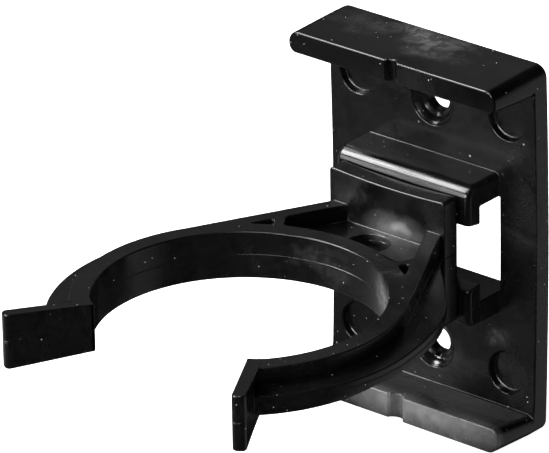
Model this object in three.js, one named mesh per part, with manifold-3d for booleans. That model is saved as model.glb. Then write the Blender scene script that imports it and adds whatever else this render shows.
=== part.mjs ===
// Plinth panel clip: a screw-on bracket with two L-rails and a C-clip that snaps on a
// round cabinet leg and slides sideways along the rails.
// Units mm. X runs along the panel, +Y points into the panel, +Z is up.
// Origin: centre of the bracket's flat back, which lies on the panel.
import * as THREE from 'three';
import { mergeVertices } from 'three/addons/utils/BufferGeometryUtils.js';
import Module from 'manifold-3d';

const wasm = await Module();
wasm.setup();

// ---- driving dimensions --------------------------------------------------------------
const PLATE_W = 36.4;         // bracket width
const PLATE_H = 55.8;         // bracket height
const PLATE_T = 3;            // back plate thickness
const PLATE_R = 1.8;          // rounded outer corners
const LIP_OUT = 8.7;          // reach of the top lip in front of the plate
const LIP_OUT_LOW = 8.3;      // reach of the bottom lip
const LIP_T = 3.3;            // lip height at its front edge
const NOTCH_R = 0.9;          // half-round centre mark in each lip

const RAIL_HALF = 11.75;      // half length of the rails along X
const SLOT_HALF = 7.2;        // half height of the slot between the two webs
const RAIL_OUT = 10.8;        // half height over both webs
const MOUTH_HALF = 4.5;       // half height of the slot mouth between the flange tips
const FLANGE_BACK = 4.2;      // flange back face, in front of the plate
const FLANGE_FRONT = 7.0;     // flange front face, in front of the plate
const RAIL_R = 2.0;           // rounded outer edge of each rail

const SCREW_Z = 18.6;         // screw hole height above and below the middle
const SCREW_R = 1.9;          // clearance hole for a 3.5 mm screw
const SINK_R = 3.6;           // countersink mouth
const DIMPLE = { x: 13.2, z: 19.3, r: 3.1, depth: 1.0 };   // round recesses near the corners

const LEG_R = 20;             // leg that the clip grips
const RING_IN = 20.2;         // inner radius of the C-ring
const RING_OUT = 23.1;        // outer radius of the C-ring wall
const RING_Y = -45;           // ring centre
const RING_TOP = 4.5;         // top face of ring and struts
const RING_LOW = -2.55;       // bottom face of ring and struts
const WEB_TOP = 2.0;          // web and rim flange, centred on the ring height
const WEB_LOW = 0.0;
const RIM_R = 26.6;           // outer radius of the rim flange along the arms
const MOUTH_DEG = 42.5;       // half angle of the ring's open mouth

const CLIP_HALF = 10.2;       // half width of the slide plate
const CLIP_TOP = 9.45;        // half height of the slide plate
const CLIP_BACK = -10.4;      // back face, just clear of the flanges
const CLIP_FRONT = -13.35;    // front face
const KEY_HALF = 5;           // half width of the T-key in the rails
const KEY_NECK = 4.15;        // half height of the key's neck
const KEY_HEAD = 6.85;        // half height of the key's head
const KEY_Y = [-6.9, -4.7];   // head, front and back face

const STRUT_T = 2.3;          // strut wall thickness
const RIB_T = 1.4;            // cross rib between ring and strut
const TAB_T = 2.0;            // lead-in tab thickness
const TAB_L = 12.4;           // lead-in tab length
const TAB_DEG = 30;           // tab flare from the clip's own axis
const TAB_GROW = 0.55;        // how much the tab gains above and below towards its tip

const FLEX_DEG = 14;          // where each arm starts, from the ring's widest point
const FLEX_R = 4.35;          // round seat of the arm's flexing root
const GAP = 0.3;              // working gap round that seat

// ---- solids --------------------------------------------------------------------------
const rad = (d) => (d * Math.PI) / 180;

// closed three.js geometry -> manifold solid
function solid(geometry) {
  let g = geometry.clone();
  for (const name of Object.keys(g.attributes)) if (name !== 'position') g.deleteAttribute(name);
  g = mergeVertices(g, 1e-5);
  return new wasm.Manifold(new wasm.Mesh({
    numProp: 3,
    vertProperties: new Float32Array(g.attributes.position.array),
    triVerts: new Uint32Array(g.index.array),
  }));
}

function shapeOf(points) {
  return new THREE.Shape(points.map(([u, v]) => new THREE.Vector2(u, v)));
}

// polygon in plan (x, y), raised from z0 to z1
function plan(points, z0, z1, segments = 12) {
  const shape = points instanceof THREE.Shape ? points : shapeOf(points);
  const g = new THREE.ExtrudeGeometry(shape, {
    depth: z1 - z0, bevelEnabled: false, curveSegments: segments,
  });
  return solid(g.translate(0, 0, z0));
}

// polygon in side view (y, z), run along X from x0 to x1
function side(points, x0, x1, segments = 12) {
  const shape = points instanceof THREE.Shape ? points : shapeOf(points);
  const g = new THREE.ExtrudeGeometry(shape, {
    depth: x1 - x0, bevelEnabled: false, curveSegments: segments,
  });
  // (u, v, w) -> (w, u, v)
  g.applyMatrix4(new THREE.Matrix4().set(0, 0, 1, x0, 1, 0, 0, 0, 0, 1, 0, 0, 0, 0, 0, 1));
  return solid(g);
}

// polygon in front view (x, z), run along Y from y0 to y1
function front(shape, y0, y1, segments = 8) {
  const g = new THREE.ExtrudeGeometry(shape, {
    depth: y1 - y0, bevelEnabled: false, curveSegments: segments,
  });
  // (u, v, w) -> (u, -w, v), then moved so that it ends at y1
  g.applyMatrix4(new THREE.Matrix4().set(1, 0, 0, 0, 0, 0, -1, y1, 0, 1, 0, 0, 0, 0, 0, 1));
  return solid(g);
}

function box(x0, x1, y0, y1, z0, z1) {
  const g = new THREE.BoxGeometry(x1 - x0, y1 - y0, z1 - z0);
  return solid(g.translate((x0 + x1) / 2, (y0 + y1) / 2, (z0 + z1) / 2));
}

// upright cylinder
function post(x, y, r, z0, z1, segments = 48) {
  const g = new THREE.CylinderGeometry(r, r, z1 - z0, segments).rotateX(Math.PI / 2);
  return solid(g.translate(x, y, (z0 + z1) / 2));
}

// turned profile of (radius, y) pairs about an axis along Y through (x, z)
function turned(profile, x, z, segments = 32) {
  const g = new THREE.LatheGeometry(profile.map(([r, y]) => new THREE.Vector2(r, y)), segments);
  return solid(g.translate(x, 0, z));
}

// rounded polygon: each corner is [u, v, radius]
function rounded(corners) {
  const shape = new THREE.Shape();
  const n = corners.length;
  corners.forEach(([u, v, r = 0], i) => {
    const p = new THREE.Vector2(u, v);
    const a = new THREE.Vector2(...corners[(i + n - 1) % n].slice(0, 2)).sub(p).normalize();
    const b = new THREE.Vector2(...corners[(i + 1) % n].slice(0, 2)).sub(p).normalize();
    const half = Math.acos(THREE.MathUtils.clamp(a.dot(b), -1, 1)) / 2;
    const back = r / Math.tan(half);
    const p0 = p.clone().addScaledVector(a, back);
    const p1 = p.clone().addScaledVector(b, back);
    if (i === 0) shape.moveTo(p0.x, p0.y); else shape.lineTo(p0.x, p0.y);
    if (r > 0) shape.quadraticCurveTo(p.x, p.y, p1.x, p1.y);
  });
  shape.closePath();
  return shape;
}

const sum = (...list) => list.flat().reduce((a, b) => a.add(b));
const cut = (from, ...tools) => tools.flat().reduce((a, b) => a.subtract(b), from);

// ---- bracket -------------------------------------------------------------------------
function bracket() {
  const h = PLATE_H / 2;
  const w = PLATE_W / 2;
  const face = -PLATE_T;
  const up = face - LIP_OUT;
  const low = face - LIP_OUT_LOW;

  // plate and both lips in one side profile, trimmed to the rounded outline
  const channel = side(rounded([
    [0, h], [up, h - 0.25, 0.5], [up, h - 0.25 - LIP_T, 0.5], [face, h - 4.1, 1.0],
    [face, -h + 3.3, 1.0], [low, -h + 4.3, 0.5], [low, -h + 0.5, 0.5], [0, -h],
  ]), -w, w, 5);
  const outline = rounded([[w, h, PLATE_R], [-w, h, PLATE_R], [-w, -h, PLATE_R], [w, -h, PLATE_R]]);
  let body = channel.intersect(front(outline, up - 1, 1));

  // rails: a web out from the plate and a flange turned towards the other rail
  for (const s of [1, -1]) {
    const rail = side(rounded([
      [face + 0.5, SLOT_HALF * s], [face + 0.5, RAIL_OUT * s],
      [face - FLANGE_FRONT, RAIL_OUT * s, RAIL_R], [face - FLANGE_FRONT, (MOUTH_HALF + 0.5) * s, 0.3],
      [face - FLANGE_BACK, MOUTH_HALF * s], [face - FLANGE_BACK, SLOT_HALF * s],
    ]), -RAIL_HALF, RAIL_HALF, 6);
    body = body.add(rail);
  }
  // the window between the webs
  body = body.subtract(box(-RAIL_HALF, RAIL_HALF, face - 0.01, 1, -SLOT_HALF, SLOT_HALF));
  // rounded upright ends of the flanges
  const ends = plan(rounded([
    [w + 1, 1], [w + 1, face], [RAIL_HALF, face], [RAIL_HALF, face - FLANGE_FRONT, 0.9],
    [-RAIL_HALF, face - FLANGE_FRONT, 0.9], [-RAIL_HALF, face], [-w - 1, face], [-w - 1, 1],
  ]), -RAIL_OUT - 0.5, RAIL_OUT + 0.5, 5);
  const middle = box(-w - 1, w + 1, up - 1, 1, -RAIL_OUT - 0.5, RAIL_OUT + 0.5);
  body = body.subtract(middle).add(body.intersect(middle).intersect(ends));

  // screw holes with a stepped countersink
  for (const s of [1, -1]) {
    body = body.subtract(turned([
      [0, 1], [SCREW_R, 1], [SCREW_R, face + 1.4], [SCREW_R + 0.8, face + 0.95],
      [SCREW_R + 0.9, face + 0.75], [SINK_R - 0.15, face + 0.2], [SINK_R, face - 0.5], [0, face - 0.5],
    ].reverse(), 0, SCREW_Z * s, 36));
    for (const t of [1, -1]) {
      body = body.subtract(turned([
        [0, face + DIMPLE.depth], [DIMPLE.r - 0.3, face + DIMPLE.depth],
        [DIMPLE.r, face + DIMPLE.depth - 0.3], [DIMPLE.r, face - 0.5], [0, face - 0.5],
      ].reverse(), DIMPLE.x * t, DIMPLE.z * s, 32));
    }
  }
  // centre marks in the lips
  body = body.subtract(post(0, up - 0.25, NOTCH_R, h - 0.25 - LIP_T - 0.5, h + 1, 20));
  body = body.subtract(post(0, low - 0.25, NOTCH_R, -h - 1, -h + 4.8, 20));
  return body;
}

// ---- clip ----------------------------------------------------------------------------
// unit vectors of the right-hand strut: along it, away from the plate, and square to it
const corner = new THREE.Vector2(CLIP_HALF, CLIP_FRONT);
const reach = Math.hypot(corner.x, corner.y - RING_Y);
const tangent = Math.atan2(corner.y - RING_Y, corner.x) - Math.acos(RING_OUT / reach);
const nose = new THREE.Vector2(Math.cos(tangent), Math.sin(tangent));       // square, outward
const along = new THREE.Vector2(nose.y, -nose.x);                            // down the strut

const onRing = (r, deg) => [r * Math.cos(rad(deg)), RING_Y + r * Math.sin(rad(deg))];
const mirror = (points) => points.map(([x, y]) => [-x, y]).reverse();

function arc(r, from, to, steps) {
  return Array.from({ length: steps + 1 }, (_, i) => onRing(r, from + ((to - from) * i) / steps));
}

// right half of the rim flange and web, from the plate out to the mouth
function rimHalf() {
  return [
    [CLIP_HALF - 0.2, CLIP_FRONT + 1], [CLIP_HALF - 0.2, CLIP_FRONT],
    [12.2, -16.6], [14.7, -19.3], [17.3, -22.0], [19.9, -25.0], [22.1, -28.2], [23.9, -31.7],
    [25.2, -35.6], [26.1, -39.8], ...arc(RIM_R, 6, -90, 32),
  ];
}

function fullClip() {
  const rim = plan([...rimHalf(), ...mirror(rimHalf()).slice(1)], WEB_LOW, WEB_TOP);
  const wall = post(0, RING_Y, RING_OUT, RING_LOW, RING_TOP, 144);
  const parts = [rim, wall];
  for (const s of [1, -1]) {
    const at = (d, l) => [s * (corner.x + nose.x * d + along.x * l), corner.y + nose.y * d + along.y * l];
    const run = Math.sqrt(reach * reach - RING_OUT * RING_OUT);
    const strip = [at(0, -3), at(0, run), at(-STRUT_T, run), at(-STRUT_T, -3)];
    const strut = plan(s > 0 ? strip : strip.reverse(), RING_LOW, RING_TOP);
    parts.push(strut.intersect(box(-30, 30, -60, CLIP_FRONT + 1, -20, 20)));
    const mid = onRing(RING_OUT - 1.5, 64);
    const rib = [at(-1, 0.8 + 6.2), at(-1, 0.8 + 6.2 + RIB_T), [s * (mid[0] + 0.55), mid[1] - 0.45],
      [s * (mid[0] - 0.55), mid[1] + 0.45]];
    parts.push(plan(s > 0 ? rib.reverse() : rib, WEB_LOW, RING_TOP));
  }
  let ring = sum(parts);
  const m = onRing(60, -90 + MOUTH_DEG);
  ring = cut(ring,
    post(0, RING_Y, RING_IN, -10, 10, 144),
    plan([[0, RING_Y], [-m[0], m[1]], m], -10, 10),
    post(0, CLIP_FRONT - 4.0, 3.0, -10, 10, 36));

  // lead-in tabs
  for (const s of [1, -1]) {
    const root = onRing(RING_IN, -90 + MOUTH_DEG);
    const d = [Math.sin(rad(TAB_DEG)), -Math.cos(rad(TAB_DEG))];     // along the tab
    const n = [-d[1], d[0]];                                         // to its back
    const p = (l, t) => [s * (root[0] + d[0] * l + n[0] * t), root[1] + d[1] * l + n[1] * t];
    const foot = [p(-0.4, 0.0), p(TAB_L - 0.7, 0), p(TAB_L, 0.7), p(TAB_L, TAB_T - 0.7),
      p(TAB_L - 0.7, TAB_T), p(-0.4, TAB_T)];
    const tall = plan(s > 0 ? foot : foot.reverse(), RING_LOW - 1, RING_TOP + 1);
    // sloped top and bottom, cut in the clip's side view
    const [, y0] = p(0, 0);
    const [, y1] = p(TAB_L, 0);
    const slope = side([[y0 + 3, RING_TOP], [y0 + 3, RING_LOW], [y0, RING_LOW],
      [y1 - 1, RING_LOW - TAB_GROW], [y1 - 1, RING_TOP + TAB_GROW], [y0, RING_TOP]], -40, 40);
    ring = ring.add(tall.intersect(slope));
  }
  return ring;
}

// the slide plate and its T-key
function slide() {
  const outline = rounded([[CLIP_HALF, CLIP_TOP, 0.6], [-CLIP_HALF, CLIP_TOP, 0.6],
    [-CLIP_HALF, -CLIP_TOP, 0.6], [CLIP_HALF, -CLIP_TOP, 0.6]]);
  return sum(
    front(outline, CLIP_FRONT, CLIP_BACK, 4),
    box(-KEY_HALF, KEY_HALF, CLIP_BACK - 1, KEY_Y[1] - 0.5, -KEY_NECK, KEY_NECK),
    side(rounded([[KEY_Y[0], KEY_HEAD, 0.2], [KEY_Y[0], -KEY_HEAD, 0.2],
      [KEY_Y[1], -KEY_HEAD, 0.6], [KEY_Y[1], KEY_HEAD, 0.6]]), -KEY_HALF, KEY_HALF, 3),
  );
}

// each arm leaves the fixed part of the ring at a round seat, so it can turn there
function splitAtSeats(ring) {
  const seatR = (RING_IN + RIM_R) / 2 + 0.15;
  const out = {};
  let base = ring;
  for (const [name, s] of [['right_arm', 1], ['left_arm', -1]]) {
    const [cx, cy] = onRing(seatR, FLEX_DEG);
    const radial = [Math.cos(rad(FLEX_DEG)), Math.sin(rad(FLEX_DEG))];
    const down = [radial[1], -radial[0]];                       // towards the mouth
    const q = (a, b) => [s * (cx + radial[0] * a + down[0] * b), cy + radial[1] * a + down[1] * b];
    const zone = [q(-20, 0), q(-20, 60), q(14, 60), q(14, 0)];
    const beyond = plan(s > 0 ? zone.reverse() : zone, -10, 10)
      .intersect(s > 0 ? box(0.01, 60, -90, 0, -10, 10) : box(-60, -0.01, -90, 0, -10, 10));
    const arm = ring.intersect(beyond.add(post(s * cx, cy, FLEX_R, -10, 10, 64)));
    base = base.subtract(beyond).subtract(post(s * cx, cy, FLEX_R + GAP, -10, 10, 64));
    out[name] = arm;
  }
  out.base = base;
  return out;
}

const { base, left_arm: leftArm, right_arm: rightArm } = splitAtSeats(fullClip());

// ---- nodes ---------------------------------------------------------------------------
const black = new THREE.MeshStandardMaterial({ color: 0x0b0b0c, roughness: 0.32, metalness: 0 });

function mesh(name, manifold) {
  const { vertProperties, triVerts, numProp } = manifold.getMesh();
  const g = new THREE.BufferGeometry();
  const xyz = new Float32Array((vertProperties.length / numProp) * 3);
  for (let i = 0; i < xyz.length / 3; i += 1) {
    for (let k = 0; k < 3; k += 1) xyz[3 * i + k] = vertProperties[numProp * i + k];
  }
  g.setAttribute('position', new THREE.BufferAttribute(xyz, 3));
  g.setIndex(new THREE.BufferAttribute(new Uint32Array(triVerts), 1));
  g.computeVertexNormals();
  const m = new THREE.Mesh(g, black);
  m.name = name;
  return m;
}

const group = new THREE.Group();
group.name = 'plinth_clip';
group.add(mesh('panel_bracket', bracket()));
group.add(mesh('leg_clip', slide().add(base)));
group.add(mesh('left_arm', leftArm));
group.add(mesh('right_arm', rightArm));

export default group;
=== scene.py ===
"""Plinth panel clip in glossy black moulded plastic: a screw-on bracket and the leg clip
that slides in its rails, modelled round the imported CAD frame."""
import math

import bmesh
import bpy
from mathutils import Matrix, Vector


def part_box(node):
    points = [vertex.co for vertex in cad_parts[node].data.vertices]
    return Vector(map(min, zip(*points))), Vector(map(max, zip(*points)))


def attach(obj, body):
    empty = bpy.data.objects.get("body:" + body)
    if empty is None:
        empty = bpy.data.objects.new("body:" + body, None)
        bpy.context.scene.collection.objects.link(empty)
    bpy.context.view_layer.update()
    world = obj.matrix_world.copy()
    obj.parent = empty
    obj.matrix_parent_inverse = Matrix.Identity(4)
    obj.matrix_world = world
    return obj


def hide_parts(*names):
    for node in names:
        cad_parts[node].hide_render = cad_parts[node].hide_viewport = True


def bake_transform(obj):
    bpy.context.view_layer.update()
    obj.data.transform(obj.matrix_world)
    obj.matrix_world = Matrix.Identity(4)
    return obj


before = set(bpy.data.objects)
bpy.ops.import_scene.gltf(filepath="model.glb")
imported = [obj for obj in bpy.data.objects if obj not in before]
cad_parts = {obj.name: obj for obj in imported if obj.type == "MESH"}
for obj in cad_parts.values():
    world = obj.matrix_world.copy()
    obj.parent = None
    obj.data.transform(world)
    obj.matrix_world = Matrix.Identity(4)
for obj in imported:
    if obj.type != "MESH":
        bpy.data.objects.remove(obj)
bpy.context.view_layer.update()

MM = 0.001

# sizes in mm, as in the CAD part
HALF_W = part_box("panel_bracket")[1].x / MM
HALF_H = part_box("panel_bracket")[1].z / MM
PLATE_T = 3.0
FACE = -PLATE_T
LIP_OUT, LIP_OUT_LOW = 8.7, 8.3
RAIL_HALF, SLOT_HALF, RAIL_OUT = 11.75, 7.2, 10.8
FLANGE_BACK, FLANGE_FRONT, FLANGE_DROP = 4.2, 7.0, 2.7
FLANGE_DRAFT = 0.5
SCREW_Z = 18.6
SINK_STEPS = ((1.9, 1.6), (2.7, 2.05), (2.85, 2.3), (3.4, 2.75), (3.6, 2.85), (3.6, 4))
DIMPLE_X, DIMPLE_Z, DIMPLE_R = 13.2, 19.3, 3.1
NOTCH_TOP_R, NOTCH_LOW_R = 1.0, 1.35
BOW = 0.6
PLATE_CORNER_R, LIP_CORNER_R, RAIL_TOP_R, RAIL_END_R = 1.8, 1.2, 2.0, 0.8
BRACKET_EDGE_R, CLIP_EDGE_R = 0.26, 0.22
CUSP_LOW, CUSP_HIGH = 22.3, 25.9

RING_Y = -45.0
RING_IN, RING_OUT, RIM_R = 20.2, 23.1, 26.6
RING_TOP, RING_LOW = 4.5, -2.55
WEB_TOP, WEB_LOW = 2.0, 0.0
WEB_BORE_R, WEB_HOLE_R = 21.7, 3.0
MOUTH_DEG = 42.5
CLIP_HALF, CLIP_TOP = 10.2, 9.45
CLIP_SAG, CLIP_CORNER_R = 0.4, 0.6
CLIP_BACK, CLIP_FRONT = -10.4, -13.35
KEY_HALF, KEY_NECK, KEY_HEAD = 5.0, 4.15, 6.85
KEY_FRONT, KEY_BACK = -6.9, -4.7
STRUT_T, STRUT_ROOT, RIB_T, RIB_DEG = 2.3, 0.55, 1.4, 64
POCKET_CORNER_R = 0.8
TAB_T, TAB_L, TAB_DEG, TAB_GROW = 2.0, 12.3, 30.0, 0.55
TAB_TIP_R = 0.75
FLEX_DEG = 14.0
HINGE_R = 23.55


# ---- bench tools -----------------------------------------------------------------------
def alone(piece):
    """Selects one piece and nothing else."""
    bpy.ops.object.select_all(action="DESELECT")
    piece.select_set(True)
    bpy.context.view_layer.objects.active = piece
    return piece


def opened(piece):
    """The piece, alone and in edit mode."""
    alone(piece)
    bpy.ops.object.mode_set(mode="EDIT")
    return piece


def closed():
    bpy.ops.object.mode_set(mode="OBJECT")


def settle(name):
    """Names the new primitive and fixes its place and size in its mesh."""
    piece = bpy.context.object
    piece.name = piece.data.name = name
    bpy.ops.object.transform_apply(location=True, rotation=True, scale=True)
    return piece


def block(name, low, high):
    """A cuboid from its lowest to its highest corner."""
    bpy.ops.object.select_all(action="DESELECT")
    middle = [(a + b) / 2 * MM for a, b in zip(low, high)]
    bpy.ops.mesh.primitive_cube_add(size=1, location=middle)
    bpy.context.object.scale = [(b - a) * MM for a, b in zip(low, high)]
    return settle(name)


def slab(name, start, end, thick, low, high):
    """An upright wall of that thickness between two points in plan."""
    bpy.ops.object.select_all(action="DESELECT")
    (ax, ay), (bx, by) = start, end
    bpy.ops.mesh.primitive_cube_add(
        size=1,
        location=((ax + bx) / 2 * MM, (ay + by) / 2 * MM, (low + high) / 2 * MM),
        rotation=(0, 0, math.atan2(by - ay, bx - ax)),
    )
    bpy.context.object.scale = (
        math.hypot(bx - ax, by - ay) * MM, thick * MM, (high - low) * MM)
    return settle(name)


def post(name, x, y, radius, low, high, sides):
    """An upright round bar."""
    bpy.ops.object.select_all(action="DESELECT")
    bpy.ops.mesh.primitive_cylinder_add(
        vertices=sides, radius=radius * MM, depth=(high - low) * MM,
        location=(x * MM, y * MM, (low + high) / 2 * MM))
    return settle(name)


def peg(name, x, z, radius, front, back, sides=64):
    """A round bar along Y."""
    bpy.ops.object.select_all(action="DESELECT")
    bpy.ops.mesh.primitive_cylinder_add(
        vertices=sides, radius=radius * MM, depth=(back - front) * MM,
        location=(x * MM, (front + back) / 2 * MM, z * MM), rotation=(math.pi / 2, 0, 0))
    return settle(name)


def near(value, target):
    """Whether two sizes in mm are the same, as far as the mesh can tell."""
    return abs(value - target) < 0.01


def pick_all():
    bpy.ops.mesh.select_all(action="SELECT")


def pick_faces(piece, test):
    """In edit mode, selects the faces whose middle (mm) and normal pass the test."""
    bpy.ops.mesh.select_mode(type="FACE")
    bpy.ops.mesh.select_all(action="DESELECT")
    for face in bmesh.from_edit_mesh(piece.data).faces:
        if test(face.calc_center_median() / MM, face.normal):
            face.select_set(True)
    bmesh.update_edit_mesh(piece.data)


def pick_edges(piece, test):
    """In edit mode, selects the edges that pass a test on middle (mm), direction and edge."""
    bpy.ops.mesh.select_mode(type="EDGE")
    bpy.ops.mesh.select_all(action="DESELECT")
    for edge in bmesh.from_edit_mesh(piece.data).edges:
        a, b = (v.co for v in edge.verts)
        if test((a + b) / 2 / MM, (b - a).normalized(), edge):
            edge.select_set(True)
    bmesh.update_edit_mesh(piece.data)


def shift(x=0, y=0, z=0):
    """Moves what is selected."""
    bpy.ops.transform.translate(value=(x * MM, y * MM, z * MM))


def pull(x=0, y=0, z=0):
    """Extrudes the selected faces together."""
    bpy.ops.mesh.extrude_region_move(
        TRANSFORM_OT_translate={"value": (x * MM, y * MM, z * MM)})


def score(point, normal):
    """Cuts a line into the selected faces."""
    bpy.ops.mesh.bisect(plane_co=Vector(point) * MM, plane_no=normal)


def round_over(radius, steps):
    """Rounds the selected edges."""
    bpy.ops.mesh.bevel(offset=radius * MM, segments=steps, affect="EDGES",
                       clamp_overlap=False)


def sharp_turn(edge, degrees=40):
    """Whether the surface turns by more than that at the edge."""
    return len(edge.link_faces) == 2 and edge.calc_face_angle(0) > math.radians(degrees)


def apply(piece, kind, **settings):
    alone(piece)
    modifier = piece.modifiers.new(kind.title(), kind)
    for key, value in settings.items():
        setattr(modifier, key, value)
    bpy.ops.object.modifier_apply(modifier=modifier.name)


def together(*parts):
    bpy.ops.object.select_all(action="DESELECT")
    for part in parts:
        part.select_set(True)
    bpy.context.view_layer.objects.active = parts[0]
    bpy.ops.object.join()
    return parts[0]


def weld(piece, *parts):
    """One solid of the piece and the parts."""
    tool = together(*parts) if len(parts) > 1 else parts[0]
    apply(piece, "BOOLEAN", operation="UNION", solver="EXACT", object=tool, use_self=True)
    bpy.data.objects.remove(tool)


def machine(piece, *cutters):
    """Takes the cutters out of the piece."""
    tool = together(*cutters) if len(cutters) > 1 else cutters[0]
    apply(piece, "BOOLEAN", operation="DIFFERENCE", solver="EXACT", object=tool, use_self=True)
    bpy.data.objects.remove(tool)


def tidy_mesh(piece):
    """Merges what the cuts left too close together and makes flat faces whole."""
    gap = 0.02 * MM
    opened(piece)
    pick_all()
    bpy.ops.mesh.remove_doubles(threshold=gap)
    bpy.ops.mesh.dissolve_degenerate(threshold=gap)
    bpy.ops.mesh.dissolve_limited(angle_limit=math.radians(0.3), use_dissolve_boundaries=False)
    pick_all()
    bpy.ops.mesh.normals_make_consistent(inside=False)
    closed()


def mould_edges(piece, radius, crisp=lambda c: False):
    """The small radius that a mould leaves on every edge, apart from the crisp ones."""
    mesh = bmesh.new()
    mesh.from_mesh(piece.data)
    weight = mesh.edges.layers.float.new("bevel_weight_edge")
    for edge in mesh.edges:
        middle = (edge.verts[0].co + edge.verts[1].co) / 2 / MM
        if sharp_turn(edge, 26) and not crisp(middle):
            edge[weight] = 1.0 if edge.is_convex else 0.5
    mesh.to_mesh(piece.data)
    mesh.free()
    apply(piece, "BEVEL", width=radius * MM, segments=3, limit_method="WEIGHT",
          use_clamp_overlap=False, miter_outer="MITER_ARC", miter_inner="MITER_SHARP")
    alone(piece)
    bpy.ops.object.shade_smooth()


def even_shading(piece):
    """Flat faces stay flat and their rounded edges blend into them."""
    apply(piece, "WEIGHTED_NORMAL", mode="FACE_AREA_WITH_ANGLE", weight=50, keep_sharp=True)


# ---- bracket ---------------------------------------------------------------------------
def countersink(z):
    """The stepped screw hole: a bore, a small step, the cone and its mouth."""
    radius, depth = SINK_STEPS[0]
    tool = opened(peg("sink_cutter", 0, z, radius, -depth, 1))
    for next_radius, next_depth in SINK_STEPS[1:]:
        pick_faces(tool, lambda c, n: n.y < -0.9 and abs(c.x) < 0.1)
        pull(y=depth - next_depth)
        bpy.ops.transform.resize(
            value=(next_radius / radius, 1, next_radius / radius),
            center_override=(0, -next_depth * MM, z * MM))
        radius, depth = next_radius, next_depth
    closed()
    return tool


def dimple(x, z):
    """A shallow round recess with a soft bottom edge."""
    tool = opened(peg("dimple_cutter", x, z, DIMPLE_R, -4, -2))
    pick_edges(tool, lambda c, d, e: c.y > -2.01 and abs(d.y) < 0.1)
    round_over(0.35, 3)
    closed()
    return tool


def lip(side, root, reach, tip, heel):
    """A lip with its foot inside the plate and its inner corners rounded."""
    inner, outer = sorted((side * (HALF_H - root), side * HALF_H))
    part = opened(block("lip", (-HALF_W, FACE, inner), (HALF_W, FACE + 1.2, outer)))
    pick_faces(part, lambda c, n: n.y < -0.9)
    pull(y=-reach)
    front = FACE - reach
    pick_edges(part, lambda c, d, e: near(c.y, front) and side * c.z > HALF_H - 0.1)
    shift(z=-side * tip)
    pick_edges(part, lambda c, d, e: near(c.y, front) and near(side * c.z, HALF_H - root))
    shift(z=heel)
    pick_edges(part, lambda c, d, e: abs(d.y) > 0.9 and abs(c.x) > HALF_W - 0.1
               and side * c.z < HALF_H - 1.5)
    round_over(LIP_CORNER_R, 6)
    closed()
    return part


def bow(body):
    """The ends of the plate come forward a little, as the moulding cools."""
    opened(body)
    for k in range(-8, 9):
        pick_all()
        score((0, 0, 3.0 * k + 0.35), (0, 0, 1))
    for side in (1, -1):
        pick_edges(body, lambda c, d, e: side * c.z > HALF_H - 0.45)
        bpy.ops.transform.translate(
            value=(0, -BOW * MM, 0), use_proportional_edit=True,
            proportional_edit_falloff="SHARP", proportional_size=HALF_H * MM)
    closed()


def pull_rails(body):
    """Lines on the plate, webs pulled out of it, flanges pulled towards each other."""
    tip = FACE - FLANGE_FRONT
    for point, normal in (
            *(((s * RAIL_HALF, 0, 0), (1, 0, 0)) for s in (1, -1)),
            *(((0, 0, s * z), (0, 0, 1)) for s in (1, -1) for z in (SLOT_HALF, RAIL_OUT))):
        pick_faces(body, lambda c, n: abs(n.y) > 0.9 and c.y > FACE - 0.1
                   and abs(c.z) < HALF_H - 5)
        score(point, normal)
    pick_faces(body, lambda c, n: n.y < -0.9 and abs(c.y - FACE) < 0.1
               and abs(c.x) < RAIL_HALF and SLOT_HALF < abs(c.z) < RAIL_OUT)
    pull(y=-FLANGE_FRONT)
    pick_faces(body, lambda c, n: c.y < FACE - 0.1 and abs(c.z) < RAIL_OUT + 0.1)
    score((0, FACE - FLANGE_BACK, 0), (0, 1, 0))
    for side in (1, -1):
        pick_faces(body, lambda c, n: near(side * c.z, SLOT_HALF) and c.y < FACE - FLANGE_BACK)
        pull(z=-side * FLANGE_DROP)
        pick_edges(body, lambda c, d, e: near(c.y, tip)
                   and near(side * c.z, SLOT_HALF - FLANGE_DROP))
        shift(z=side * FLANGE_DRAFT)


def open_window(body):
    """The window in the plate between the rails."""
    pick_faces(body, lambda c, n: abs(n.y) > 0.9 and c.y > FACE - 0.1
               and abs(c.x) < RAIL_HALF - 0.1 and abs(c.z) < SLOT_HALF - 0.1)
    bpy.ops.mesh.bridge_edge_loops()


def round_corners(body):
    """The plate's outline, the rails' top front edges and the rails' ends."""
    tip = FACE - FLANGE_FRONT
    pick_edges(body, lambda c, d, e: abs(d.y) > 0.9 and abs(c.x) > HALF_W - 0.1
               and abs(c.z) > HALF_H - 0.6)
    round_over(PLATE_CORNER_R, 8)
    pick_edges(body, lambda c, d, e: abs(d.x) > 0.9 and near(c.y, tip)
               and near(abs(c.z), RAIL_OUT))
    round_over(RAIL_TOP_R, 10)
    pick_edges(body, lambda c, d, e: near(abs(c.x), RAIL_HALF) and c.y < FACE - 0.1
               and sharp_turn(e) and (abs(c.z) > RAIL_OUT - RAIL_TOP_R - 0.1 or c.y < tip + 0.1)
               and abs(c.z) < RAIL_OUT + 0.1
               and abs(c.z) > SLOT_HALF - FLANGE_DROP + FLANGE_DRAFT + 0.02)
    round_over(RAIL_END_R, 5)


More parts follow.
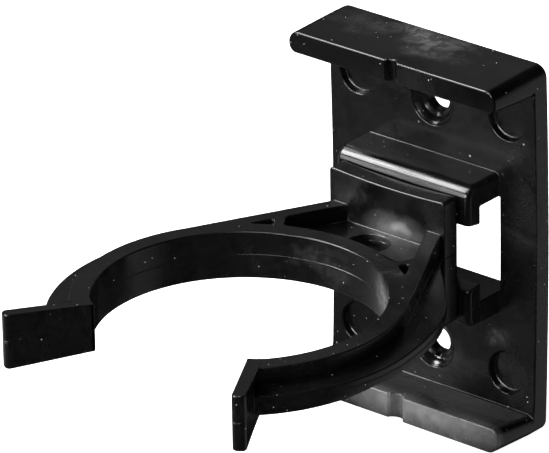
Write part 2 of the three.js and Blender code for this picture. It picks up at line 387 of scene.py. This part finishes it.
def bracket_moulding():
    body = block("bracket_moulding", (-HALF_W, FACE, -HALF_H), (HALF_W, 0, HALF_H))
    weld(body, lip(1, 4.1, LIP_OUT, 0.25, 0.55), lip(-1, 3.3, LIP_OUT_LOW, 0.5, 1.0))
    tidy_mesh(body)
    opened(body)
    pull_rails(body)
    open_window(body)
    round_corners(body)
    closed()
    machine(
        body, countersink(SCREW_Z), countersink(-SCREW_Z),
        *(dimple(s * DIMPLE_X, t * DIMPLE_Z) for s in (1, -1) for t in (1, -1)),
        post("notch_top", 0, FACE - LIP_OUT - 0.25, NOTCH_TOP_R, HALF_H - 5, HALF_H + 1, 32),
        post("notch_low", 0, FACE - LIP_OUT_LOW - 0.35, NOTCH_LOW_R,
             -HALF_H - 1, -HALF_H + 5.5, 32))
    tidy_mesh(body)
    opened(body)
    for side in (1, -1):
        pick_faces(body, lambda c, n: c.y > FACE - 0.1 and (abs(n.x) > 0.9 or n.y < -0.9))
        score((0, 0, side * CUSP_LOW), (0, 0, 1))
    closed()
    bow(body)
    # the lip corners run out on the plate's edge, where no radius fits
    mould_edges(body, BRACKET_EDGE_R, crisp=lambda c: abs(c.x) > HALF_W - 1.3
                and abs(c.y - FACE) < 0.1 and CUSP_LOW < abs(c.z) < CUSP_HIGH)
    return body


# ---- leg clip --------------------------------------------------------------------------
def on_ring(radius, degrees):
    """A point in plan, at that angle round the leg."""
    a = math.radians(degrees)
    return radius * math.cos(a), RING_Y + radius * math.sin(a)


# the right-hand strut runs from the plate's corner to a tangent on the ring wall
REACH = math.hypot(CLIP_HALF, CLIP_FRONT - RING_Y)
TURN = math.atan2(CLIP_FRONT - RING_Y, CLIP_HALF) - math.acos(RING_OUT / REACH)
STRUT_RUN = math.sqrt(REACH ** 2 - RING_OUT ** 2)


def on_strut(side, inward, down):
    """A point in plan, that far down the strut and inward of its outer face."""
    nose = math.cos(TURN), math.sin(TURN)
    return (side * (CLIP_HALF - nose[0] * inward + nose[1] * down),
            CLIP_FRONT - nose[1] * inward - nose[0] * down)


def rim_outline():
    """Half widths of the web and rim, from the slide plate out past the mouth."""
    waist = [(-12.6, 9.8), (-13.35, 9.8), (-16.6, 12.2), (-19.3, 14.7), (-22.0, 17.3),
             (-25.0, 19.9), (-28.2, 22.1), (-31.7, 23.9), (-35.6, 25.2), (-39.8, 26.1)]
    smooth = waist[:2]
    for i in range(1, len(waist) - 2):
        p0, p1, p2, p3 = (Vector(waist[i + k]) for k in (-1, 0, 1, 2))
        if i == 1:
            p0 = 2 * p1 - p2
        for t in (1 / 3, 2 / 3, 1):
            smooth.append(tuple(
                0.5 * (2 * p1 + (p2 - p0) * t + (2 * p0 - 5 * p1 + 4 * p2 - p3) * t * t
                       + (3 * p1 - p0 - 3 * p2 + p3) * t ** 3)))
    smooth += [(-37.7, 25.72), (-39.8, 26.09)]
    rim = [on_ring(RIM_R, 9.0 - 2.5 * k) for k in range(25)]
    return smooth + [(y, x) for x, y in rim]


def web_and_rim():
    """The flat web, pulled forward along its outline and bored for the leg."""
    outline = rim_outline()
    (y0, w0), (y1, _) = outline[:2]
    plate = opened(block("leg_clip_moulding", (-w0, y1, WEB_LOW), (w0, y0, WEB_TOP)))
    for (y, w), (next_y, next_w) in zip(outline[1:], outline[2:]):
        pick_faces(plate, lambda c, n: n.y < -0.9 and c.y < y + 0.001)
        pull(y=next_y - y)
        bpy.ops.transform.resize(value=(next_w / w, 1, 1), center_override=(0, next_y * MM, 0))
    closed()
    machine(plate, post("web_bore", 0, RING_Y, WEB_BORE_R, -9, 9, 144),
            post("web_hole", 0, CLIP_FRONT - 4, WEB_HOLE_R, -9, 9, 64))
    return plate


def ring_wall():
    """The C-shaped wall, spun a little past the mouth on both sides."""
    start, sweep, steps = -50.0, 280.0, 112
    x, y = on_ring((RING_IN + RING_OUT) / 2, start)
    bpy.ops.object.select_all(action="DESELECT")
    bpy.ops.mesh.primitive_plane_add(
        size=1, location=(x * MM, y * MM, (RING_TOP + RING_LOW) / 2 * MM),
        rotation=(math.pi / 2, 0, math.radians(start)))
    bpy.context.object.scale = ((RING_OUT - RING_IN) * MM, (RING_TOP - RING_LOW) * MM, 1)
    wall = opened(settle("ring_wall"))
    pick_all()
    bpy.ops.mesh.spin(steps=steps, angle=math.radians(sweep), center=(0, RING_Y * MM, 0),
                      axis=(0, 0, -1), use_auto_merge=False)
    pick_all()
    bpy.ops.mesh.remove_doubles(threshold=0.001 * MM)
    bpy.ops.mesh.normals_make_consistent(inside=False)
    closed()
    return wall


def slide_plate():
    """The plate in front of the rails, with the T-key that runs in them."""
    plate = opened(block("slide_plate", (-CLIP_HALF, CLIP_FRONT, -CLIP_TOP),
                         (CLIP_HALF, CLIP_BACK, CLIP_TOP)))
    # the top edge sinks a little towards the middle
    stations = [CLIP_HALF * k / 6 for k in range(-5, 6)]
    for x in stations:
        pick_all()
        score((x, 0, 0), (1, 0, 0))
    for x in stations:
        pick_edges(plate, lambda c, d, e: near(c.x, x) and near(c.z, CLIP_TOP))
        shift(z=-CLIP_SAG * (1 - (x / CLIP_HALF) ** 2))
    for point, normal in (
            *(((s * KEY_HALF, 0, 0), (1, 0, 0)) for s in (1, -1)),
            *(((0, 0, s * KEY_NECK), (0, 0, 1)) for s in (1, -1))):
        pick_faces(plate, lambda c, n: n.y > 0.9)
        score(point, normal)
    for depth in (KEY_FRONT - CLIP_BACK, KEY_BACK - KEY_FRONT):
        pick_faces(plate, lambda c, n: n.y > 0.9 and abs(c.x) < KEY_HALF
                   and abs(c.z) < KEY_NECK)
        pull(y=depth)
    for side in (1, -1):
        pick_faces(plate, lambda c, n: side * n.z > 0.9 and KEY_FRONT < c.y < KEY_BACK)
        pull(z=side * (KEY_HEAD - KEY_NECK))
    pick_edges(plate, lambda c, d, e: abs(d.y) > 0.9 and abs(c.x) > CLIP_HALF - 0.1
               and abs(c.z) > CLIP_TOP - 0.1)
    round_over(CLIP_CORNER_R, 4)
    closed()
    return plate


def lead_in_tab(side):
    """The flared end that guides the leg into the mouth."""
    root = Vector(on_ring(RING_IN, -90 + MOUTH_DEG))
    a = math.radians(TAB_DEG)
    along = Vector((math.sin(a), -math.cos(a)))
    square = Vector((math.cos(a), math.sin(a)))
    start = root + square * (TAB_T / 2 + 0.01) - along * 0.5
    end = root + square * (TAB_T / 2 + 0.01) + along * TAB_L
    tab = opened(slab("tab", (side * start.x, start.y), (side * end.x, end.y), TAB_T,
                      RING_LOW + 0.001, RING_TOP - 0.001))
    pick_faces(tab, lambda c, n: n.y < -0.7 and c.y < end.y + 0.5)
    bpy.ops.transform.resize(
        value=(1, 1, 1 + 2 * TAB_GROW / (RING_TOP - RING_LOW)),
        center_override=(0, 0, (RING_TOP + RING_LOW) / 2 * MM))
    pick_edges(tab, lambda c, d, e: abs(d.z) > 0.9 and c.y < start.y - TAB_L + 3)
    round_over(TAB_TIP_R, 5)
    closed()
    return tab


def mouth_cutter():
    """The wedge that opens the ring at the front."""
    half = 45 * math.tan(math.radians(MOUTH_DEG))
    wedge = opened(block("mouth", (-half, RING_Y - 45, -9), (half, RING_Y, 9)))
    pick_faces(wedge, lambda c, n: n.y > 0.9)
    bpy.ops.transform.resize(value=(0.0001, 1, 1), center_override=(0, RING_Y * MM, 0))
    pick_all()
    bpy.ops.mesh.remove_doubles(threshold=0.02 * MM)
    closed()
    return wedge


def struts_and_ribs():
    """Straight walls from the slide plate to the ring, each with a short cross rib."""
    walls = []
    mid = STRUT_T / 2 + 0.04
    for side in (1, -1):
        walls.append(slab("strut", on_strut(side, mid + STRUT_ROOT, -2.0),
                          on_strut(side, mid, STRUT_RUN), STRUT_T, RING_LOW, RING_TOP))
        x, y = on_ring(RING_OUT - 1.5, RIB_DEG)
        walls.append(slab("cross_rib", on_strut(side, 1.0, 7.7), (side * x, y), RIB_T,
                          WEB_LOW + 0.5, RING_TOP))
    return walls


def round_pockets(clip):
    """The upright inside corners of the pockets between web, struts and ribs."""
    opened(clip)
    pick_edges(clip, lambda c, d, e: abs(d.z) > 0.9 and not e.is_convex and sharp_turn(e, 35)
               and 8 < abs(c.x) < 24 and -30 < c.y < CLIP_FRONT - 0.5)
    round_over(POCKET_CORNER_R, 5)
    closed()


def leg_clip_moulding():
    """The whole clip with both arms, before it is parted at the seams."""
    clip = web_and_rim()
    weld(clip, ring_wall(), slide_plate(), *struts_and_ribs())
    tidy_mesh(clip)
    round_pockets(clip)
    machine(clip, mouth_cutter())
    weld(clip, lead_in_tab(1), lead_in_tab(-1))
    tidy_mesh(clip)
    mould_edges(clip, CLIP_EDGE_R)
    return clip


def seam(side):
    """Point on the seam where an arm starts to bend, and the direction down the arm."""
    x, y = on_ring(HINGE_R, FLEX_DEG)
    a = math.radians(FLEX_DEG)
    return Vector((side * x, y, 0)), Vector((side * math.sin(a), -math.cos(a), 0))


def cut_end(piece, side, point, normal):
    """Cuts one arm at its seam, closes the end and keeps what lies along the normal."""
    pick_faces(piece, lambda c, n: side * c.x > 0)
    bpy.ops.mesh.bisect(plane_co=point, plane_no=normal, use_fill=True, clear_inner=True,
                        clear_outer=False, threshold=1e-7)
    for face in bmesh.from_edit_mesh(piece.data).faces:
        if abs(face.normal.dot(normal)) > 0.999 and abs(
                (face.calc_center_median() - point).dot(normal)) < 0.002 * MM:
            for edge in face.edges:
                edge.smooth = False
    bmesh.update_edit_mesh(piece.data)


def part_off(whole, name):
    """A copy of the whole clip, open in edit mode with all of it selected."""
    piece = whole.copy()
    piece.data = whole.data.copy()
    piece.name = piece.data.name = name
    bpy.context.scene.collection.objects.link(piece)
    opened(piece)
    pick_all()
    return piece


def arm_moulding(whole, name, side):
    """What lies in front of one seam."""
    arm = part_off(whole, name)
    bpy.ops.mesh.bisect(plane_co=(0, 0, 0), plane_no=(side, 0, 0), clear_inner=True)
    point, down = seam(side)
    cut_end(arm, side, point * MM, down)
    closed()
    even_shading(arm)
    return arm


def core_moulding(whole):
    """What lies behind both seams."""
    core = part_off(whole, "clip_core_moulding")
    bpy.ops.mesh.bisect(plane_co=(0, 0, 0), plane_no=(1, 0, 0))
    for side in (1, -1):
        point, down = seam(side)
        cut_end(core, side, point * MM, -down)
    closed()
    even_shading(core)
    return core


# ---- finishes --------------------------------------------------------------------------
class Finish:
    """A material under construction: adds nodes and joins them."""

    def __init__(self, name):
        self.material = bpy.data.materials.new(name)
        self.material.use_nodes = True
        self.tree = self.material.node_tree
        self.shader = self.tree.nodes["Principled BSDF"]
        self.place = self.add("TexCoord").outputs["Object"]

    def add(self, kind, inputs=(), **settings):
        node = self.tree.nodes.new("ShaderNode" + kind)
        for key, value in settings.items():
            setattr(node, key, value)
        for key, value in dict(inputs).items():
            self.feed(node.inputs[key], value)
        return node

    def feed(self, socket, value):
        if isinstance(value, bpy.types.NodeSocket):
            self.tree.links.new(value, socket)
        else:
            socket.default_value = value

    def math(self, operation, a, b=0.0, c=0.0):
        return self.add("Math", {0: a, 1: b, 2: c}, operation=operation).outputs[0]

    def stack(self, *layers):
        """The sum of several maps, each times its own amount."""
        total = None
        for layer, amount in layers:
            part = self.math("MULTIPLY", layer, amount)
            total = part if total is None else self.math("ADD", total, part)
        return total

    def tint(self, share, under, over):
        """One colour laid over another where the map says so."""
        mix = self.add("Mix", {"Factor": share, 6: under, 7: over}, data_type="RGBA")
        return mix.outputs[2]

    def grain(self, scale, detail=3.0, stretch=(1, 1, 1), distortion=0.0, offset=(0, 0, 0)):
        spot = self.add("Mapping", {"Vector": self.place, "Scale": stretch, "Location": offset})
        return self.add("TexNoise", {
            "Vector": spot.outputs[0], "Scale": scale, "Detail": detail, "Roughness": 0.6,
            "Distortion": distortion}).outputs["Fac"]

    def between(self, value, low, high, to_low=0.0, to_high=1.0):
        return self.add("MapRange", {
            "Value": value, "From Min": low, "From Max": high, "To Min": to_low,
            "To Max": to_high}, interpolation_type="SMOOTHSTEP").outputs[0]

    def ragged(self, scale, reach):
        """Object coordinates pushed about, so that a patch gets a ragged outline."""
        noise = self.add("TexNoise", {"Vector": self.place, "Scale": scale, "Detail": 4})
        centred = self.add("VectorMath", {0: noise.outputs["Color"], 1: (0.5, 0.5, 0.5)},
                           operation="SUBTRACT").outputs[0]
        push = self.add("VectorMath", {0: centred, "Scale": reach * MM}, operation="SCALE")
        return self.add("VectorMath", {0: self.place, 1: push.outputs[0]},
                        operation="ADD").outputs[0]

    def patch(self, place, middle, size):
        """1 at the middle of a patch (mm), falling to 0 at its edge."""
        spot = self.add("Mapping", {
            "Vector": place,
            "Scale": tuple(1 / (MM * s) for s in size),
            "Location": tuple(-m / s for m, s in zip(middle, size))})
        far = self.add("VectorMath", {0: spot.outputs[0]}, operation="LENGTH").outputs["Value"]
        return self.between(far, 1.0, 0.0)

    def patches(self, place, spots):
        """The strongest of several patches, each with its middle, size and strength."""
        strongest = None
        for middle, size, strength in spots:
            part = self.math("MULTIPLY", self.patch(place, middle, size), strength)
            strongest = part if strongest is None else self.math("MAXIMUM", strongest, part)
        return strongest

    def specks(self, scale, share, radius):
        """Tiny round specks, in that share of the cells of a scattered grid."""
        cells = self.add("TexVoronoi", {"Vector": self.place, "Scale": scale})
        pick = self.add("SeparateColor", {"Color": cells.outputs["Color"]}).outputs
        chosen = self.math("LESS_THAN", pick[0], share)
        reach = self.math("MULTIPLY_ADD", pick[1], radius, radius * 0.4)
        dot = self.math("LESS_THAN", cells.outputs["Distance"], reach)
        return self.math("MULTIPLY", chosen, dot)


RAW_BLACK, WORN_BLACK = (0.0004, 0.0004, 0.0005, 1), (0.0018, 0.0018, 0.0020, 1)
# the pale grey serves both for real rubs and for painted highlights and reflections
RUB_AND_PAINTED_SHEEN_GREY, DUST_GREY = (0.26, 0.26, 0.265, 1), (0.55, 0.55, 0.55, 1)


def glossy_black(name, rubs_and_painted_reflections, painted_sheens, pitted, drawn, streak, seam_line):
    """Black moulded plastic: flow marks, handling rubs, dust specks and hairline marks, with
    painted sheens and a painted reflection laid on in pale grey.
    """
    f = Finish(name)
    cloud = f.grain(95, 5, distortion=0.8)
    fine = f.grain(1500, 2)
    flow = f.grain(55, 3, stretch=(1, 1, 2.2), distortion=2.5, offset=(3, 1, 2))
    lines = f.grain(30, 4, stretch=streak)
    hairs = f.between(f.grain(26, 2, stretch=(1, 38, 9), distortion=0.6), 0.66, 0.70)

    # rubs have ragged outlines, painted sheens soft ones; the sheens are pale grey that stands
    # for highlights and reflections
    ragged_place, soft_place = f.ragged(190, 9), f.ragged(260, 2.5)
    rub_grain = f.between(f.grain(520, 6, distortion=1.5), 0.36, 0.62, 0.35, 1)
    hazy = f.between(f.grain(700, 5), 0.3, 0.7, 0.7, 1)
    rub_and_painted_sheen = f.math("MAXIMUM", f.math("MULTIPLY", f.patches(ragged_place, rubs_and_painted_reflections), rub_grain),
                 f.math("MULTIPLY", f.patches(soft_place, painted_sheens), hazy))
    pits = f.patches(ragged_place, pitted)
    drag = f.math("ADD", f.patches(f.place, drawn), 0.2)
    dust = f.math("MAXIMUM", f.specks(330, 0.5, 0.035), f.specks(900, 0.5, 0.06))
    dust = f.math("MULTIPLY", dust, f.between(cloud, 0.35, 0.6, 0.25, 1))

    colour = f.tint(cloud, RAW_BLACK, WORN_BLACK)
    # pale grey laid into the colour: real rubs, and painted sheens and reflections where
    # highlights fall
    colour = f.tint(rub_and_painted_sheen, colour, RUB_AND_PAINTED_SHEEN_GREY)
    f.feed(f.shader.inputs["Base Color"], f.tint(dust, colour, DUST_GREY))

    rough = f.stack((fine, 0.06), (rub_and_painted_sheen, 0.28), (pits, 0.14), (hairs, 0.12), (dust, 0.4))
    rough = f.math("ADD", f.between(cloud, 0.3, 0.7, 0.12, 0.24), rough)
    f.feed(f.shader.inputs["Roughness"], rough)

    # heights in mm
    peel = f.math("MULTIPLY", f.grain(4000, 1), pits)
    draw = f.math("MULTIPLY", lines, drag)
    height = f.stack((flow, 0.030), (peel, 0.10), (fine, 0.0035), (draw, 0.045),
                     (hairs, -0.003), (dust, 0.03))
    if seam_line is not None:
        level = f.add("SeparateXYZ", {0: f.place}).outputs["Z"]
        off = f.math("ABSOLUTE", f.math("SUBTRACT", level, seam_line * MM))
        height = f.math("ADD", height, f.between(off, 0.15 * MM, 0.02 * MM, 0, 0.08))
    bump = f.add("Bump", {"Height": height, "Strength": 1.0, "Distance": MM})
    f.feed(f.shader.inputs["Normal"], bump.outputs[0])
    f.shader.inputs["IOR"].default_value = 1.5
    return f.material


# ---- studio ----------------------------------------------------------------------------
def white_glow(name, base, rough):
    """A surface of that grey which also gives off plain white light."""
    material = bpy.data.materials.new(name)
    material.use_nodes = True
    shader = material.node_tree.nodes["Principled BSDF"]
    for key, value in (("Base Color", (base, base, base, 1)), ("Roughness", rough),
                       ("Emission Color", (1, 1, 1, 1)), ("Emission Strength", 1)):
        shader.inputs[key].default_value = value
    return material


def floor_and_backdrop():
    bpy.ops.object.select_all(action="DESELECT")
    bpy.ops.mesh.primitive_plane_add(size=30, location=(0, 0, -HALF_H * MM - 0.0002))
    floor = bpy.context.object
    floor.name = "studio_floor"
    floor.data.materials.append(white_glow("pale_floor", 0.9, 0.9))
    floor.visible_glossy = False

    bpy.ops.mesh.primitive_uv_sphere_add(segments=64, ring_count=32, radius=14)
    backdrop = bpy.context.object
    backdrop.name = "studio_backdrop"
    backdrop.data.materials.append(white_glow("pale_backdrop", 0, 1))
    for ray in ("diffuse", "glossy", "transmission", "volume_scatter", "shadow"):
        setattr(backdrop, "visible_" + ray, False)


# pale cards round the table: where each one stands, how wide it is, how bright
CARDS = (((-0.85, -0.35, -0.40), 0.60, 0.15), ((-0.83, 0.37, -0.42), 0.86, 0.30),
         ((0.58, 0.70, -0.42), 0.75, 0.28), ((-0.58, 0.70, 0.42), 0.70, 0.02))


def surround():
    """A dark room with the pale cards in it."""
    world = bpy.data.worlds.new("soft_surround")
    bpy.context.scene.world = world
    world.use_nodes = True
    nodes, links = world.node_tree.nodes, world.node_tree.links
    way = nodes.new("ShaderNodeTexCoord").outputs["Generated"]
    glow = nodes.new("ShaderNodeValue").outputs[0]
    glow.default_value = 0.006
    for towards, edge, bright in CARDS:
        facing = nodes.new("ShaderNodeVectorMath")
        facing.operation = "DOT_PRODUCT"
        facing.inputs[1].default_value = Vector(towards).normalized()
        card = nodes.new("ShaderNodeMapRange")
        card.interpolation_type = "SMOOTHSTEP"
        for key, value in (("From Min", edge), ("From Max", 1), ("To Min", 0),
                           ("To Max", bright)):
            card.inputs[key].default_value = value
        total = nodes.new("ShaderNodeMath")
        links.new(way, facing.inputs[0])
        links.new(facing.outputs["Value"], card.inputs["Value"])
        links.new(card.outputs[0], total.inputs[0])
        links.new(glow, total.inputs[1])
        glow = total.outputs[0]
    nodes["Background"].inputs["Color"].default_value = (1, 1, 1, 1)
    links.new(glow, nodes["Background"].inputs["Strength"])
    bpy.context.scene.view_settings.view_transform = "Standard"


def softbox(name, towards, distance, width, height, power):
    """A soft light that looks at the object from a direction."""
    aim = Vector((0, -30 * MM, 0))
    way = Vector(towards).normalized()
    data = bpy.data.lights.new(name, "AREA")
    data.shape = "RECTANGLE"
    data.size, data.size_y = width, height
    data.energy = power
    lamp = bpy.data.objects.new(name, data)
    bpy.context.scene.collection.objects.link(lamp)
    lamp.location = aim + way * distance
    lamp.rotation_euler = way.to_track_quat("Z", "Y").to_euler()


def camera():
    """Looks from the front right and above, with a long lens."""
    turn, rise, roll = math.radians(40.062), math.radians(24.751), math.radians(0.889)
    away, aside, below, aim = 991, 22.187, 0.258, Vector((0, -3, 0))
    across = Vector((math.cos(turn), math.sin(turn), 0))
    back = Vector((math.sin(turn) * math.cos(rise), -math.cos(turn) * math.cos(rise),
                   math.sin(rise)))
    upward = back.cross(across)
    data = bpy.data.cameras.new("studio_camera")
    data.lens, data.sensor_width = 465.2, 36
    data.clip_start, data.clip_end = 0.01, 100
    cam = bpy.data.objects.new("studio_camera", data)
    bpy.context.scene.collection.objects.link(cam)
    cam.location = (back * away - across * aside - upward * below + aim) * MM
    right = across * math.cos(roll) - upward * math.sin(roll)
    top = across * math.sin(roll) + upward * math.cos(roll)
    cam.rotation_euler = Matrix((right, top, back)).transposed().to_euler()
    bpy.context.scene.camera = cam


# ---- assembly --------------------------------------------------------------------------
floor_and_backdrop()
surround()
camera()
softbox("tall_key_light", (-0.585, -0.40, 0.70), 1.3, 0.40, 0.85, 24)
softbox("high_back_light", (-0.58, 0.04, 0.80), 1.3, 0.40, 0.50, 3)
softbox("low_front_light", (-0.60, -0.77, 0.20), 1.5, 0.40, 0.48, 4)
softbox("front_strip_light", (-0.12, -0.93, 0.27), 1.3, 0.9, 0.18, 13)
softbox("overhead_light", (0.06, -0.36, 0.93), 1.5, 0.6, 0.6, 8)
softbox("back_card", (-0.56, 0.71, 0.62), 0.3, 0.16, 0.12, 0.009)

# marks on the plastic, and painted highlights and reflections: each with its middle and half
# size in mm, and its strength
bracket_black = glossy_black(
    "bracket_black_plastic", streak=(0.5, 60, 60), seam_line=None,
    rubs_and_painted_reflections=(((-0.5, -3.2, 28), (11, 3.4, 4), 0.38), ((3, -6.8, 28), (8, 3.0, 4), 0.18),
          ((-12, -4, 28), (9, 4, 4), 0.08), ((11.5, -3, -15.2), (5, 3, 2.4), 0.1),
          ((2, -3, 4), (50, 12, 50), 0.022)),
    # sheens: painted highlights on the bottom lip's front and the upper rail's front edge
    painted_sheens=(((5, -12, -24.0), (21, 3, 5.5), 0.60), ((2, -12, 10.5), (15, 3, 3), 0.05)),
    pitted=(((15.5, -3, 2), (5.5, 5, 24), 1.0), ((2, -12, 25.5), (7, 4, 4), 1.0),
            ((16, -3, -20), (6, 5, 8), 0.6)),
    drawn=(((0, -10.5, 10), (16, 4, 4.5), 2.6), ((0, -11, -25), (22, 3, 4), 0.4)))
clip_black = glossy_black(
    "clip_black_plastic", streak=(60, 60, 0.5), seam_line=(RING_TOP + RING_LOW) / 2,
    # the rub on the ring's inner wall at the right (13, -29.6) is a painted reflection
    rubs_and_painted_reflections=(((-5, -13.35, 6.5), (6, 3, 3), 0.08), ((13, -29.6, 1), (5.5, 5.5, 5), 0.35),
          ((-3, -25, 1), (9, 4, 4), 0.06), ((0, -45, 1), (70, 70, 50), 0.014)),
    # sheens: a painted highlight on the slide plate's front, above the web
    painted_sheens=(((1.5, -13.35, 3.0), (7, 3, 3.2), 0.5), ((2.5, -13.35, 3.4), (3.5, 3, 1.8), 1.0)),
    pitted=(((7.5, -13.35, 5.5), (4.5, 3, 5), 0.8), ((15, -33, 1), (9, 9, 5), 0.25)),
    drawn=(((0, -28, 1), (24, 12, 6), 0.5),))

bracket = bracket_moulding()
even_shading(bracket)
bracket.data.materials.append(bracket_black)
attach(bracket, "bracket")
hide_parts("panel_bracket")

whole = leg_clip_moulding()
whole.data.materials.append(clip_black)
for side, name, body in ((1, "right_arm_moulding", "right_arm"),
                         (-1, "left_arm_moulding", "left_arm")):
    arm = arm_moulding(whole, name, side)
    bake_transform(arm)
    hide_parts(body)
core = core_moulding(whole)
bpy.data.objects.remove(whole)
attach(core, "clip")
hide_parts("leg_clip")
